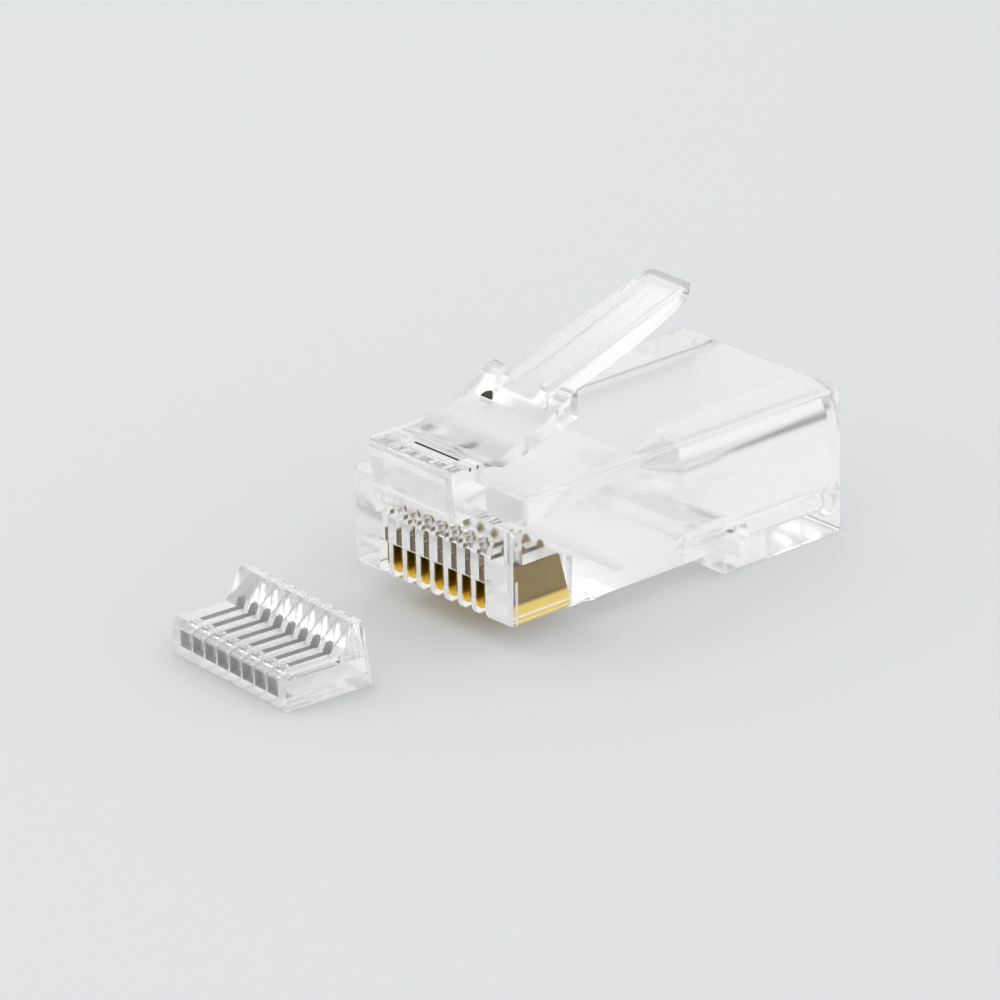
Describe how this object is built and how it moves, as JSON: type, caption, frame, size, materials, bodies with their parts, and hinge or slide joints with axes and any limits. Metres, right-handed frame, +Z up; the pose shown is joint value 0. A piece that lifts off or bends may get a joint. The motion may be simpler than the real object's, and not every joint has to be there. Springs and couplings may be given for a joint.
{
  "type": "rj45 modular plug",
  "caption": "Clear modular plug for twisted-pair network cable, uncrimped, with gold-plated contacts, spring latch and a separate conductor guide.",
  "frame": {"origin": "middle of the plug's width, at the front plane of the contact nose (y = 0) and the plane of the contact side (z = 0)", "axes": "+Z up, towards the latch side; +Y back, out of the cable entry; X across the width"},
  "size_m": [0.0116, 0.0343, 0.0137],
  "materials": {
    "clear_plastic": "polished clear polycarbonate",
    "contact_metal": "gold-plated stamped strip"
  },
  "bodies": {
    "plug_body": {"housing": "clear_plastic", "load_bar": "clear_plastic"},
    "latch": {"latch": "clear_plastic"},
    "cable_clamp": {"cable_clamp": "clear_plastic"},
    "contact_1": {"contact_1": "contact_metal"},
    "contact_2": {"contact_2": "contact_metal"},
    "contact_3": {"contact_3": "contact_metal"},
    "contact_4": {"contact_4": "contact_metal"},
    "contact_5": {"contact_5": "contact_metal"},
    "contact_6": {"contact_6": "contact_metal"},
    "contact_7": {"contact_7": "contact_metal"},
    "contact_8": {"contact_8": "contact_metal"}
  },
  "joints": [
    {"name": "latch_press", "type": "hinge", "parent": "plug_body", "child": "latch", "pos_m": [0, 0.00095, 0.00758], "axis": [-1, 0, 0], "range_deg": [0, 14.5], "stiffness_Nm_per_rad": 0.2},
    {"name": "cable_clamp_fold", "type": "hinge", "parent": "plug_body", "child": "cable_clamp", "pos_m": [0, 0.01565, 0.00049], "axis": [-1, 0, 0], "range_deg": [0, 25]},
    {"name": "contact_1_crimp", "type": "slide", "parent": "plug_body", "child": "contact_1", "axis": [0, 0, 1], "range_m": [0, 0.00065]},
    {"name": "contact_2_crimp", "type": "slide", "parent": "plug_body", "child": "contact_2", "axis": [0, 0, 1], "range_m": [0, 0.00065]},
    {"name": "contact_3_crimp", "type": "slide", "parent": "plug_body", "child": "contact_3", "axis": [0, 0, 1], "range_m": [0, 0.00065]},
    {"name": "contact_4_crimp", "type": "slide", "parent": "plug_body", "child": "contact_4", "axis": [0, 0, 1], "range_m": [0, 0.00065]},
    {"name": "contact_5_crimp", "type": "slide", "parent": "plug_body", "child": "contact_5", "axis": [0, 0, 1], "range_m": [0, 0.00065]},
    {"name": "contact_6_crimp", "type": "slide", "parent": "plug_body", "child": "contact_6", "axis": [0, 0, 1], "range_m": [0, 0.00065]},
    {"name": "contact_7_crimp", "type": "slide", "parent": "plug_body", "child": "contact_7", "axis": [0, 0, 1], "range_m": [0, 0.00065]},
    {"name": "contact_8_crimp", "type": "slide", "parent": "plug_body", "child": "contact_8", "axis": [0, 0, 1], "range_m": [0, 0.00065]}
  ]
}
